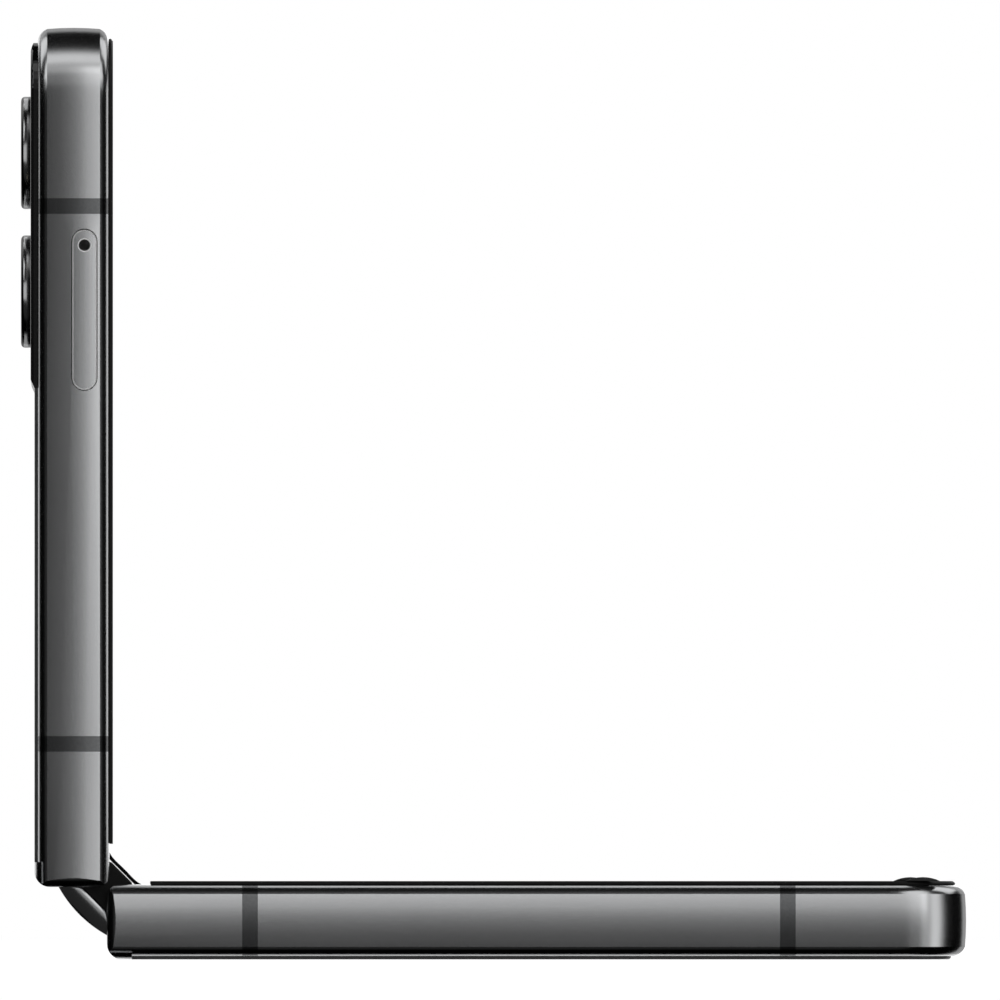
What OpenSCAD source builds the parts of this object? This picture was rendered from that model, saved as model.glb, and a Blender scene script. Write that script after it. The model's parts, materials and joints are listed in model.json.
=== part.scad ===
// Clamshell folding phone, standing half open at a right angle.
// Two thin halves turn about their own axes inside a rounded hinge spine. Swing arms slide in
// curved grooves of the hinge brackets, and a train of four small gears keeps the halves in step.
// The origin is the middle of the lower half's back face: +X runs to the lower half's free end,
// +Y to the side with the keys and +Z up along the upper half.

/* [Halves] */
// Length of one half from the fold plane to its free end
half_len = 82.8; // [81.8:0.1:88.6]
// Width of the phone across its side walls
half_width = 71.9; // [70.9:0.1:76.9]
// Thickness of one half from its back face to its inner rim
half_thick = 7.2; // [7.1:0.05:7.8]
// How far the back face stands proud of the metal frame
back_proud = 0.3; // [0.2:0.02:0.4]
// Gap between each half's end face and the fold plane
fold_gap = 0.2; // [0.15:0.05:0.3]
// Plan radius of the free-end corners
corner_r = 7.5; // [6:0.5:10]
// Edge radius of the frame's rails
edge_r = 1.4; // [0.8:0.1:1.5]
// Crown radius of the frame's outer faces
crown_r = 30; // [20:1:60]
// Thickness of the frame's side rails
wall = 1.6; // [1.5:0.1:2]
// Thickness of the frame's inner web
web = 0.8; // [0.6:0.1:0.9]
// Edge radius of a half's hinge end on the inner side
end_inner_r = 1.2; // [1.2:0.1:1.5]
// Edge radius of a half's hinge end on the back side
end_back_r = 1.5; // [1.2:0.1:1.7]
// Edge radius of a half's hinge end at the two sides
end_side_r = 1.2; // [0.8:0.1:1.5]

/* [Glass and trim] */
// Thickness of the back glass
glass_thick = 0.75; // [0.6:0.05:0.8]
// Distance from the frame's outer face to the back glass
glass_inset = 1.45; // [1.2:0.05:1.5]
// Height of the bezel above the inner rim
bezel_proud = 0.33; // [0.2:0.01:0.36]
// Width of the bezel
bezel_width = 2; // [1.6:0.1:2.4]
// Distance from the fold plane to the end of the bezel
bezel_start = 4.4; // [4:0.1:6]
// Height of a rubber bumper above the bezel
bumper_proud = 0.38; // [0.2:0.02:0.42]
// Length of a rubber bumper
bumper_len = 3.3; // [2.5:0.1:4]
// Distance from the free end to the middle of a rubber bumper
bumper_in = 4.25; // [3.8:0.05:5]
// Length of the polished lip along the hinge end
lip_len = 2.4; // [2:0.1:3]
// Thickness of the polished lip
lip_thick = 0.66; // [0.6:0.02:0.68]
// Width of an antenna band
band_width = 1.5; // [1:0.1:2]
// Depth of an antenna band
band_depth = 1; // [0.6:0.1:1.2]

/* [Display] */
// Thickness of the folding display
display_thick = 0.35; // [0.25:0.05:0.4]
// Thickness of the metal plates that back the display
plate_thick = 0.45; // [0.3:0.05:0.45]
// Half length of the display's flexible stretch
flex_len = 6; // [5.8:0.1:7]
// Depth of the crease over the fold plane
crease = 0.45; // [0.3:0.05:0.5]

/* [Hinge] */
// Distance from the fold plane to each half's axis
axis_out = 2.97; // [2.9:0.01:3.05]
// Outer radius of the spine cover
spine_r = 11.7; // [11.6:0.1:12]
// Depth of the spine cover below the inner rim in the open phone
spine_deep = 6.37; // [6.3:0.01:6.4]
// Width of the spine cover
spine_width = 14.2; // [14:0.1:14.3]
// Thickness of the spine cover
spine_wall = 0.4; // [0.3:0.05:0.42]
// Thickness of the end caps of the spine
cap_thick = 0.8; // [0.6:0.1:1]
// Gap between the spine's ends and the side rails
spine_side_gap = 0.2; // [0.15:0.05:0.3]
// Module of the hinge gears
gear_module = 0.18; // [0.17:0.005:0.185]
// Running clearance of a crescent in its groove
groove_clear = 0.06; // [0.04:0.01:0.1]
// Distance from the end of the spine cover to the middle of a hinge bracket
bracket_in = 10.35; // [9:0.05:14]
// Radius of the spine's domed end caps
cap_dome_r = 2.2; // [1.8:0.1:4]

/* [Cameras and cover display] */
// Length of the cover window from the free end
window_len = 34.7; // [32:0.1:36]
// Height of the cover window above the back glass
window_proud = 0.38; // [0.2:0.02:0.5]
// Radius of the curve at the cover window's free end
window_end_r = 2.5; // [1.5:0.1:4]
// Outer diameter of a lens ring
ring_d = 10.95; // [10:0.05:11.5]
// Height of a lens ring above the cover window
ring_proud = 1.03; // [0.6:0.01:1.2]
// Distance from the free end to the upper lens
lens_in = 11.15; // [10.6:0.05:12.5]
// Distance between the two lenses
lens_pitch = 13.5; // [12.5:0.1:14]
// Distance of the lenses from the frame's side face
lens_from_side = 10.75; // [9.95:0.05:11.95]
// Cover display length, across the phone
cover_display_len = 42; // [38:0.5:42]
// Cover display width, along the phone
cover_display_wid = 21.5; // [20:0.5:22.5]

/* [Card tray and keys] */
// Length of the tray's face
tray_len = 15.4; // [15:0.1:16]
// Width of the tray's face
tray_face = 2.35; // [2.2:0.05:2.4]
// Depth of the tray below the inner rim, to its middle
tray_down = 2.4; // [2.35:0.05:2.6]
// Distance from the free end to the tray's middle
tray_in = 27.2; // [26.8:0.1:27.8]
// Length of the tray's drawer inside the phone
drawer_len = 13; // [12.5:0.1:14]
// Diameter of the eject hole
eject_d = 1.1; // [0.8:0.1:1.2]
// Length of the volume key
volume_len = 18; // [16:0.5:19]
// Length of the power key
power_len = 14; // [12:0.5:15]
// Width of the keys
key_wid = 2.3; // [2:0.1:2.5]
// Height of the keys above the frame
key_proud = 0.4; // [0.3:0.05:0.6]
// Gap all round a key, the tray and other moving trim
trim_gap = 0.08; // [0.06:0.01:0.1]

/* [Charging socket] */
// Width of the socket's mouth
mouth_wid = 8.94; // [8.9:0.02:9]
// Height of the socket's mouth
mouth_high = 3.2; // [3:0.05:3.3]

/* [Hidden] */
$fn = 64;

// Colours
metal = [0.36, 0.36, 0.38];
polished = [0.75, 0.75, 0.77];
gloss_black = [0.03, 0.03, 0.035];
matte_black = [0.06, 0.06, 0.06];
band_grey = [0.33, 0.33, 0.35];
cell_grey = [0.2, 0.2, 0.22];
board_green = [0.05, 0.2, 0.12];
steel = [0.6, 0.6, 0.62];
copper = [0.72, 0.45, 0.25];
graphite_glass = [0.13, 0.13, 0.15];

// Small overlaps and gaps inside one body
eps = 0.01;
seat_gap = 0.05;
bezel_base = 1.05;

// Heights in a half, w = 0 at the inner rim and negative towards the back
frame_deep = half_thick - back_proud;
glass_top = -half_thick + glass_thick;
plate_top = -display_thick;
web_top = plate_top - plate_thick - seat_gap;
web_bottom = web_top - web;
flex_relief = 0.25;
crown_drop = crown_r - sqrt(pow(crown_r, 2) - pow(frame_deep / 2 - edge_r, 2));
edge_cross = 0.05;
edge_at = edge_cross - edge_r - crown_drop;

// Hinge: both axes lie inside the spine, and the halves' inner corners lap each other at 90 degrees
rest_turn = 45;
corner_lap = 0.24;
axis_deep = corner_lap + fold_gap + axis_out * (sqrt(2) - 1);
axis_w = -axis_deep;
lower_x0 = -(half_len + fold_gap) / 2;
upper_xin = lower_x0 - axis_out * (sqrt(2) - 1) + axis_deep;
upper_z0 = half_thick - axis_deep + axis_out * (sqrt(2) - 1);
spine_x = lower_x0 + axis_out * (1 - cos(rest_turn)) + axis_deep * sin(rest_turn);
spine_z = half_thick - axis_deep + axis_out * sin(rest_turn) + axis_deep * cos(rest_turn);
spine_half = half_width / 2 - wall - spine_side_gap;
cover_half = spine_half - cap_thick;
bracket_out = cover_half - bracket_in;
spine_centre = spine_r - spine_deep;
band_top = -4.32;
cap_top = -display_thick - 0.27;
cavity_far = spine_width / 2 + 0.6;
cross_wall = 1;
web_start = axis_out + 1.65;

// Gears: two sectors on the halves and four equal gears between them
sector_teeth = 18;
gear_teeth = 11;
gear_r = gear_module * gear_teeth / 2;
sector_r = gear_module * sector_teeth / 2;
gear_w = axis_w - sector_r - gear_r;
gear_step = axis_out * 2 / 3;
tooth_out = 0.9 * gear_module;
tooth_in = 1.12 * gear_module;
pin_r = 0.34;
pin_clear = 0.04;
gear_pitch = 360 / gear_teeth;
sector_pitch = 360 / sector_teeth;

// Crescents of the swing arms
crescent_in = 2.3;
crescent_out = 3;
crescent_tip = -150;
crescent_root = -12;
arm_start = axis_out + crescent_in - 0.02;
arm_end = 15.4;
arm_top = web_bottom;
arm_bottom = axis_w - 1.4;

// Room inside a half: between its side rails, and between the back glass and the web
room_side = half_width / 2 - wall;
room_floor = glass_top + seat_gap;
room_roof = web_bottom - seat_gap;
arm_screw_places = [arm_end - 5, arm_end - 1.8];
battery_start = arm_end + 1.6;
battery_side = room_side - 11.35;
battery_roof = room_roof - 0.3;
battery_thick = 4.1;
coil_thick = 0.22;
lower_bay_len = 24.8;
upper_bay_len = tray_in + tray_len / 2 + 0.4;
board_thick = 0.63;
board_margin = 1.85;
board_inset = 2.6;

// Layout of one hinge bracket along the spine
bay_half = 1.5;
gear_half = 0.9;
slot_start = 2.1;
slot_len = 3;
bracket_half = 7.6;
boss_top = -2.2;
centre_top = -3.4;

// Antenna bands, at the same distance from both ends of a half
band_near = 13.93;
band_far = 17.25;
function band_places() = [band_near, half_len - band_far];
function polar(r, a) = [r * cos(a), r * sin(a)];

// Places the lower half, the upper half and the spine in the standing phone
module lower_place() {
  translate([lower_x0, 0, half_thick]) children();
}

module upper_place() {
  translate([upper_xin, 0, upper_z0]) rotate([0, -90, 0]) mirror([0, 0, 1]) children();
}

module spine_place() {
  translate([spine_x, 0, spine_z]) rotate([0, rest_turn, 0]) children();
}

// Extrudes a side-view outline from y0 over a length
module along_y(y0, len) {
  translate([0, y0 + len, 0]) rotate([90, 0, 0]) linear_extrude(len) children();
}

// Extrudes a section seen from the hinge end from u0 over a length
module along_u(u0, len) {
  translate([u0, 0, 0]) rotate([90, 0, 90]) linear_extrude(len) children();
}

module block(u, y, w) {
  translate([u[0], y[0], w[0]]) cube([u[1] - u[0], y[1] - y[0], w[1] - w[0]]);
}

// Rectangle with round corners, centred
module round_rect(size, r) {
  square([size[0] - 2 * r, size[1]], center = true);
  square([size[0], size[1] - 2 * r], center = true);
  for (sx = [-1, 1], sy = [-1, 1]) {
    translate([sx * (size[0] / 2 - r), sy * (size[1] / 2 - r)]) circle(r);
  }
}

// Plan of one half, inset from the frame's outer face
module plan(u0, inset) {
  side = half_width / 2 - inset;
  core = half_width / 2 - corner_r;
  translate([u0, -side]) square([half_len - corner_r - u0, 2 * side]);
  translate([u0, -core]) square([half_len - inset - u0, 2 * core]);
  for (s = [-1, 1]) translate([half_len - corner_r, s * core]) circle(corner_r - inset);
}

module slab(u0, inset, w0, w1) {
  translate([0, 0, w0]) linear_extrude(w1 - w0) plan(u0, inset);
}

// Sweeps a rail section (x = 0 at the frame's outer face) round the three closed sides
module ring_sweep(u0) {
  straight = half_len - corner_r - u0;
  core = half_width / 2 - corner_r;
  along_u(u0, straight) translate([half_width / 2, 0]) children();
  along_u(u0, straight) mirror([1, 0]) translate([half_width / 2, 0]) children();
  along_y(-core, 2 * core) translate([half_len, 0]) children();
  for (s = [-1, 1]) {
    translate([half_len - corner_r, s * core, 0])
      rotate([0, 0, s > 0 ? 0 : -90])
        rotate_extrude(angle = 90) translate([corner_r, 0]) children();
  }
}

module rail_section(thick) {
  intersection() {
    union() {
      translate([-thick, -frame_deep]) square([thick + edge_at, frame_deep]);
      translate([edge_at - eps, edge_r - frame_deep]) square([1 - edge_at, frame_deep - 2 * edge_r]);
      for (w = [-edge_r, edge_r - frame_deep]) translate([edge_at, w]) circle(edge_r);
    }
    translate([-crown_r, -frame_deep / 2]) circle(crown_r, $fn = 256);
    translate([-thick, -frame_deep - 1]) square([thick + 1, frame_deep + 2]);
  }
}

// Side view of a half with the round edges of its hinge end
module side_outline() {
  reach = half_len + 1;
  translate([fold_gap + end_inner_r, -half_thick + end_back_r])
    square([reach, half_thick + 1 - end_back_r]);
  translate([fold_gap, -half_thick + end_back_r])
    square([reach, half_thick - end_back_r - end_inner_r]);
  translate([fold_gap + end_back_r, -half_thick]) square([reach, half_thick]);
  translate([fold_gap + end_inner_r, -end_inner_r]) circle(end_inner_r);
  translate([fold_gap + end_back_r, -half_thick + end_back_r]) circle(end_back_r);
}

// Everything inside the round side edges of the hinge end
module end_plan() {
  translate([fold_gap + half_len, 0, -half_thick - 1]) linear_extrude(half_thick + 2)
    round_rect([2 * half_len, half_width + 2 * edge_cross], end_side_r);
}

// Annular sector between two angles
module arc_band(r_in, r_out, a0, a1) {
  far = 2 * r_out;
  steps = 6;
  intersection() {
    difference() {
      circle(r_out);
      circle(r_in);
    }
    polygon([[0, 0], for (i = [0:steps]) polar(far, a0 + (a1 - a0) * i / steps)]);
  }
}

// One gear tooth that points along +X from its root to its tip
module tooth(r) {
  half_base = 0.85 * gear_module;
  half_pitch = 0.56 * gear_module;
  half_tip = 0.28 * gear_module;
  polygon([
    [r - tooth_in - 0.1, -half_base], [r - tooth_in, -half_base], [r, -half_pitch],
    [r + tooth_out, -half_tip], [r + tooth_out, half_tip],
    [r, half_pitch], [r - tooth_in, half_base], [r - tooth_in - 0.1, half_base]
  ]);
}

// ---------- parts that both halves share ----------

module frame_shell(thick) {
  ledge = 1.1;
  difference() {
    intersection() {
      union() {
        ring_sweep(fold_gap) rail_section(thick);
        slab(web_start, thick - 0.1, web_bottom, web_top);
        difference() {
          slab(cavity_far, thick - 0.1, glass_top + eps, glass_top + 0.6);
          slab(cavity_far + cross_wall, thick + ledge, glass_top - 1, glass_top + 2);
        }
        block([cavity_far, cavity_far + cross_wall], [-half_width / 2 + 1, half_width / 2 - 1],
          [glass_top + eps, web_bottom + eps]);
      }
      along_y(-half_width, 2 * half_width) side_outline();
      end_plan();
    }
    // Pocket of the back glass
    slab(fold_gap + lip_len - 0.1, glass_inset - seat_gap, -half_thick - 2, glass_top);
    // Step for the polished lip
    block([-1, fold_gap + lip_len], [-half_width, half_width], [-half_thick - 1, -half_thick + lip_thick]);
    // Relief under the flexible stretch of the display
    block([0, flex_len + 1.2], [-half_width / 2 + thick, half_width / 2 - thick],
      [web_top - flex_relief, 1]);
    // Passages of the swing arms
    for (s = [-1, 1]) {
      block([cavity_far - 1, cavity_far + cross_wall + 1],
        [s * bracket_out - 5.4, s * bracket_out + 5.4], [arm_bottom - 0.3, web_bottom]);
    }
    // Grooves of the antenna bands
    band_cut();
    // Screw holes of the swing arms
    screw_spots() cylinder(h = 0.6, r = 0.3, center = true);
  }
}

module band_cut() {
  for (u = band_places(), s = [-1, 1]) {
    translate([u, s * half_width / 2, -half_thick / 2])
      cube([band_width, 2 * band_depth, 2 * half_thick], center = true);
  }
}

module bands() {
  intersection() {
    ring_sweep(fold_gap) rail_section(wall);
    band_cut();
  }
}

module end_trim() {
  intersection() {
    block([fold_gap, fold_gap + lip_len], [-half_width / 2 + crown_drop, half_width / 2 - crown_drop],
      [-half_thick, -half_thick + lip_thick]);
    along_y(-half_width, 2 * half_width) side_outline();
    along_u(0, 2 * lip_len) round_rect([half_width - 2 * crown_drop, 2 * half_thick], edge_r);
    end_plan();
  }
}

// Panel with a rounded outer edge, for the back glass and the cover window
module panel(u0, u1, thick, proud, round) {
  outer = -half_thick - proud;
  difference() {
    union() {
      slab(u0, glass_inset + round, outer, outer + thick);
      ring_sweep(u0) {
        translate([-glass_inset - round - eps, outer + round]) square([round + eps, thick - round]);
        translate([-glass_inset - round, outer + round]) intersection() {
          circle(round);
          translate([-eps, -round]) square([round + eps, round + eps]);
        }
      }
    }
    block([u1, half_len + 1], [-half_width, half_width], [outer - 1, 1]);
  }
}

module bezel() {
  base = bezel_base;
  slope = 0.25;
  foot = 0.6;
  rise = bezel_proud * 0.45;
  ring_sweep(bezel_start) difference() {
    polygon([
      [-base - bezel_width, 0], [-base - foot, 0], [-base - foot, -foot], [-base, -foot], [-base, rise],
      [-base - slope, bezel_proud], [-base - bezel_width + slope / 2, bezel_proud],
      [-base - bezel_width, rise]
    ]);
    // Follows the frame's rounded edge
    translate([edge_at, -edge_r]) circle(edge_r + eps);
    translate([edge_at - 2 * bezel_width, -2]) square([2 * bezel_width, 2]);
  }
}

display_inset = 2.3;

module display_sheet() {
  slab(flex_len, display_inset, -display_thick, -0.02);
}

module display_plate() {
  slab(flex_len + 0.2, display_inset - 0.2, plate_top - plate_thick, plate_top);
}

// Swing arms of one half; side is +1 where the crescents sit on the lower half's side of a bracket
module swing_arms(side, tooth_at) {
  for (m = [-1, 1]) {
    translate([0, m * bracket_out, 0]) mirror([0, m > 0 ? 0 : 1, 0]) swing_arm(side, tooth_at);
  }
}

module swing_arm(side, tooth_at) {
  slot_mid = side * (slot_start + slot_len / 2);
  rib = slot_len - 0.3;
  reach = [min(-gear_half, slot_mid - rib / 2), max(gear_half, slot_mid + rib / 2)];
  difference() {
    union() {
      along_y(slot_mid - rib / 2, rib) {
        translate([axis_out, axis_w])
          arc_band(crescent_in, crescent_out, crescent_tip, crescent_root);
        translate([arm_start, arm_bottom]) square([2, arm_top - arm_bottom]);
      }
      block([arm_start + 0.35, arm_end], reach, [arm_bottom, arm_top]);
      along_y(-gear_half, 2 * gear_half) {
        translate([axis_out, axis_w]) {
          arc_band(eps, sector_r - tooth_in, -205, -4);
          intersection() {
            for (i = [0:sector_teeth - 1]) rotate(tooth_at + i * sector_pitch) tooth(sector_r);
            arc_band(eps, sector_r + 1, -200, -72);
          }
        }
        translate([axis_out + 0.7, axis_w - 1.05]) square([2.4, arm_top - axis_w + 1.05]);
      }
    }
    arm_screws(side) translate([0, 0, arm_bottom - 1]) cylinder(h = 4, r = 0.34);
  }
}

module arm_screws(side) {
  for (u = arm_screw_places) translate([u, side * slot_start, 0]) children();
}

module screw_spots() {
  for (m = [-1, 1], s = [-1, 1], u = arm_screw_places) {
    translate([u, m * bracket_out + s * slot_start, web_bottom]) children();
  }
}

module arm_screw_set(side) {
  head = 0.35;
  for (m = [-1, 1]) {
    translate([0, m * bracket_out, 0]) mirror([0, m > 0 ? 0 : 1, 0]) arm_screws(side) {
      translate([0, 0, arm_bottom - head]) cylinder(h = head, r = 0.75);
      translate([0, 0, arm_bottom - eps]) cylinder(h = arm_top - arm_bottom + 0.25, r = 0.3);
    }
  }
}

// ---------- lower half ----------

usb_down = 3.55;
speaker_slots = 5;
speaker_pitch = 2.2;
speaker_side = 9.5;
speaker_first = 11.5;
mic_side = 9.5;

module speaker_openings(grow) {
  for (i = [0:speaker_slots - 1]) {
    translate([0, speaker_first + i * speaker_pitch, -usb_down]) rotate([0, 90, 0]) rotate([0, 0, 90])
      linear_extrude(half_len + 1) round_rect([1.1 + grow, 1.3 + grow], 0.5 + grow / 2);
  }
}

module lower_frame() {
  color(metal) lower_place() difference() {
    frame_shell(wall);
    translate([half_len - wall - 1, 0, -usb_down]) rotate([90, 0, 90])
      linear_extrude(wall + 2) round_rect([mouth_wid + 0.1, mouth_high + 0.1], mouth_high / 2);
    intersection() {
      speaker_openings(0);
      block([half_len - wall - 1, half_len + 1], [0, room_side], [-half_thick, 0]);
    }
    translate([half_len - wall - 1, -mic_side, -usb_down]) rotate([0, 90, 0]) cylinder(h = 5, r = 0.5);
  }
}

module lower_antenna_bands() {
  color(band_grey) lower_place() bands();
}

module lower_end_trim() {
  color(polished) lower_place() end_trim();
}

module lower_back_glass() {
  color(graphite_glass) lower_place()
    panel(fold_gap + lip_len, half_len, glass_thick, 0, back_proud);
}

module lower_bezel() {
  color(matte_black) lower_place() bezel();
}

// Domed rubber bumpers on the bezel near the free end
module lower_bumpers() {
  dome_r = (pow(bumper_len / 2, 2) + pow(bumper_proud, 2)) / (2 * bumper_proud);
  wide = 0.65 * bezel_width;
  middle = half_width / 2 - bezel_base - bezel_width / 2;
  at = half_len - bumper_in;
  color(matte_black) lower_place() for (s = [-1, 1]) {
    along_y(s * middle - wide / 2, wide) intersection() {
      translate([at, bezel_proud + bumper_proud - dome_r]) circle(dome_r, $fn = 96);
      translate([at - bumper_len, bezel_proud]) square([2 * bumper_len, 1]);
    }
  }
}

module display_lower() {
  color(gloss_black) lower_place() display_sheet();
}

module lower_display_plate() {
  color(steel) lower_place() display_plate();
}

module lower_swing_arms() {
  color(steel) lower_place() swing_arms(1, -90 - rest_turn + sector_pitch / 2);
}

module battery(u_end) {
  u_mid = (battery_start + u_end) / 2;
  translate([u_mid, 0, battery_roof - battery_thick / 2]) rotate([90, 0, 90])
    linear_extrude(u_end - battery_start, center = true)
      round_rect([2 * battery_side, battery_thick], 0.8);
}

module lower_battery() {
  color(cell_grey) lower_place() battery(half_len - lower_bay_len);
}

// Charging board with a cut corner at the round end of the frame
module charge_board() {
  roof = -usb_down - mouth_high / 2 - 0.02;
  color(board_green) lower_place() difference() {
    block([half_len - lower_bay_len + 2, half_len - board_inset],
      [board_inset / 2 - room_side, speaker_side - 1], [roof - board_thick, roof]);
    translate([half_len - board_inset + 0.6, -room_side + 1.35, roof - 1]) cylinder(h = 2, r = 6);
  }
}

module usb_socket() {
  depth = 7.2;
  shell = 0.3;
  color(steel) lower_place() translate([half_len - depth - 0.25, 0, -usb_down]) rotate([90, 0, 90])
    difference() {
      linear_extrude(depth) round_rect([mouth_wid, mouth_high], mouth_high / 2 - 0.05);
      translate([0, 0, 2 * shell]) linear_extrude(depth)
        round_rect([mouth_wid - 2 * shell, mouth_high - 2 * shell], mouth_high / 2 - shell - 0.05);
    }
}

module usb_tongue() {
  tongue = 0.7;
  color(matte_black) lower_place() block([half_len - 6.85, half_len - 1.2],
    [-0.375 * mouth_wid, 0.375 * mouth_wid], [-usb_down - tongue / 2, -usb_down + tongue / 2]);
}

module speaker_module() {
  color(matte_black) lower_place()
    block([half_len - lower_bay_len + 4.2, half_len - wall - 0.7], [speaker_side + 0.1, room_side - 4.35],
      [room_floor + 0.6, room_roof - 0.15]);
}

module speaker_mesh() {
  span = (speaker_slots - 1) * speaker_pitch;
  color(matte_black) lower_place() block([half_len - wall - 0.6, half_len - wall - 0.1],
    [speaker_side + 0.7, speaker_first + span + 1.7], [-usb_down - 1, -usb_down + 1]);
}

module haptic_motor() {
  roof = -usb_down - mouth_high / 2 - 0.02;
  motor_r = 4.2;
  motor_high = 3;
  color(steel) lower_place()
    translate([half_len - lower_bay_len + 10, motor_r + 6.15 - room_side, roof + seat_gap])
      cylinder(h = motor_high, r = motor_r);
}

module wireless_coil() {
  u_mid = (battery_start + half_len - lower_bay_len) / 2;
  coil_r = battery_side - 3;
  color(copper) lower_place() translate([u_mid, 0, room_floor]) difference() {
    cylinder(h = coil_thick, r = coil_r);
    translate([0, 0, -1]) cylinder(h = 3, r = coil_r - 9.5);
  }
}

module lower_screws() {
  color(steel) lower_place() arm_screw_set(1);
}

// ---------- hinge spine ----------

module spine_region(r) {
  intersection() {
    translate([0, spine_centre]) circle(r, $fn = 192);
    translate([-spine_width / 2, -spine_deep - 1]) square([spine_width, spine_deep]);
  }
}

module spine_cover() {
  color(metal) spine_place() along_y(-cover_half, 2 * cover_half) difference() {
    spine_region(spine_r);
    translate([0, spine_centre]) circle(spine_r - spine_wall, $fn = 192);
  }
}

// Domed metal caps at the ends of the spine cover
module spine_end_caps() {
  band_mid = (band_top - spine_deep) / 2;
  color(polished) spine_place() for (s = [0, 1]) mirror([0, s, 0]) intersection() {
    along_y(cover_half, 2 * cap_thick) intersection() {
      spine_region(spine_r);
      translate([-spine_width / 2, -spine_deep - 1]) square([spine_width, spine_deep + 1 + band_top]);
    }
    translate([-spine_width, spine_half - cap_dome_r, band_mid]) rotate([0, 90, 0])
      cylinder(h = 2 * spine_width, r = cap_dome_r);
  }
}

// Black caps that close the fold at both ends of the spine
module fold_caps() {
  wide = 3.3;
  top_r = 0.4;
  color(matte_black) spine_place() for (s = [-1, 1]) {
    along_y(s > 0 ? cover_half + eps : -spine_half, cap_thick - eps) {
      translate([-wide / 2, band_top]) square([wide, cap_top - top_r - band_top]);
      translate([0, cap_top - top_r - eps]) round_rect([wide, 2 * (top_r + eps)], top_r);
    }
  }
}

module bracket_outline() {
  foot = spine_width / 2 - 0.8;
  intersection() {
    translate([0, spine_centre]) circle(spine_r - spine_wall - 0.02, $fn = 192);
    union() {
      translate([-foot, -spine_deep]) square([2 * foot, spine_deep + centre_top]);
      for (s = [-1, 1]) {
        translate([s * (axis_out + 0.35) - 1.85, -spine_deep]) square([3.7, spine_deep + boss_top]);
      }
    }
  }
}

module groove(side) {
  translate([side * axis_out, axis_w]) difference() {
    circle(crescent_out + groove_clear);
    circle(crescent_in - groove_clear);
  }
}

// Brackets with one curved groove for each half and a bay for the gears between them
module hinge_brackets() {
  color(steel) spine_place() for (m = [-1, 1]) {
    translate([0, m * bracket_out, 0]) mirror([0, m > 0 ? 0 : 1, 0]) difference() {
      along_y(-bracket_half, 2 * bracket_half) bracket_outline();
      for (s = [-1, 1]) {
        // Curved groove of the crescent
        along_y(s > 0 ? slot_start : -slot_start - slot_len, slot_len) groove(s);
        // Room for the root of the arm
        along_y(s > 0 ? slot_start : -slot_start - slot_len, slot_len)
          translate([s > 0 ? axis_out + crescent_in - groove_clear : -12, arm_bottom - 0.25])
            square([12 - axis_out - crescent_in + groove_clear, 5]);
      }
      // Bay of the gears and sectors
      along_y(-bay_half, 2 * bay_half) {
        translate([-4.7, -spine_deep - 1]) square([9.4, 8]);
        translate([-12, centre_top]) square([24, 8]);
      }
      for (i = [0:3]) {
        along_y(-slot_start - 1, 2 * slot_start + 2)
          translate([axis_out - i * gear_step, gear_w]) circle(pin_r + 0.01);
      }
    }
  }
}

module gear_pins() {
  color(steel) spine_place() for (m = [-1, 1], i = [0:3]) {
    translate([axis_out - i * gear_step, m * bracket_out, gear_w])
      rotate([90, 0, 0]) cylinder(h = 2 * slot_start - 0.1, r = pin_r, center = true);
  }
}

// The flexible stretch: each point turns about its half's axis by a smooth share of the half's turn
function share(t) = t * t * (3 - 2 * t);
function crease_at(y) = crease * pow(1 - share(min(1, y / (flex_len * 0.75))), 2);
function fold_point(y, down) =
  let (turn = rest_turn * share(y / flex_len))
  let (dx = y - axis_out)
  let (dz = -crease_at(y) - down - axis_w)
  [axis_out + dx * cos(turn) - dz * sin(turn), axis_w + dx * sin(turn) + dz * cos(turn)];

module display_fold() {
  steps = 14;
  skin = 0.02;
  right_top = [for (i = [0:steps]) fold_point(flex_len * i / steps, skin)];
  right_low = [for (i = [0:steps]) fold_point(flex_len * i / steps, display_thick)];
  outline = concat(
    [for (i = [steps:-1:1]) [-right_top[i][0], right_top[i][1]]],
    right_top,
    [for (i = [steps:-1:0]) right_low[i]],
    [for (i = [1:steps]) [-right_low[i][0], right_low[i][1]]]
  );
  wide = half_width - 2 * display_inset;
  fit = min(wide / 2, cover_half - 0.1);
  color(gloss_black) spine_place() along_y(-fit, 2 * fit) polygon(outline);
}

// ---------- gears ----------

// Each gear's tooth meets a gap of the next one, so the phase is passed along the train
function gear_phase(i) = i == 0 ? 90 : 180 - gear_phase(i - 1) + gear_pitch / 2;
upper_phase = gear_phase(3) - 90;
upper_tooth = 270 - rest_turn + upper_phase * gear_r / sector_r - sector_pitch / 2;

module sync_gear(i) {
  color(steel) spine_place() for (m = [-1, 1]) {
    translate([axis_out - i * gear_step, m * bracket_out, gear_w])
      along_y(-gear_half, 2 * gear_half) difference() {
        union() {
          circle(gear_r - tooth_in);
          for (k = [0:gear_teeth - 1]) rotate(gear_phase(i) + k * gear_pitch) tooth(gear_r);
        }
        circle(pin_r + pin_clear);
      }
  }
}

module sync_gear_1() {
  sync_gear(0);
}

module sync_gear_2() {
  sync_gear(1);
}

module sync_gear_3() {
  sync_gear(2);
}

module sync_gear_4() {
  sync_gear(3);
}

// ---------- upper half ----------

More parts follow.
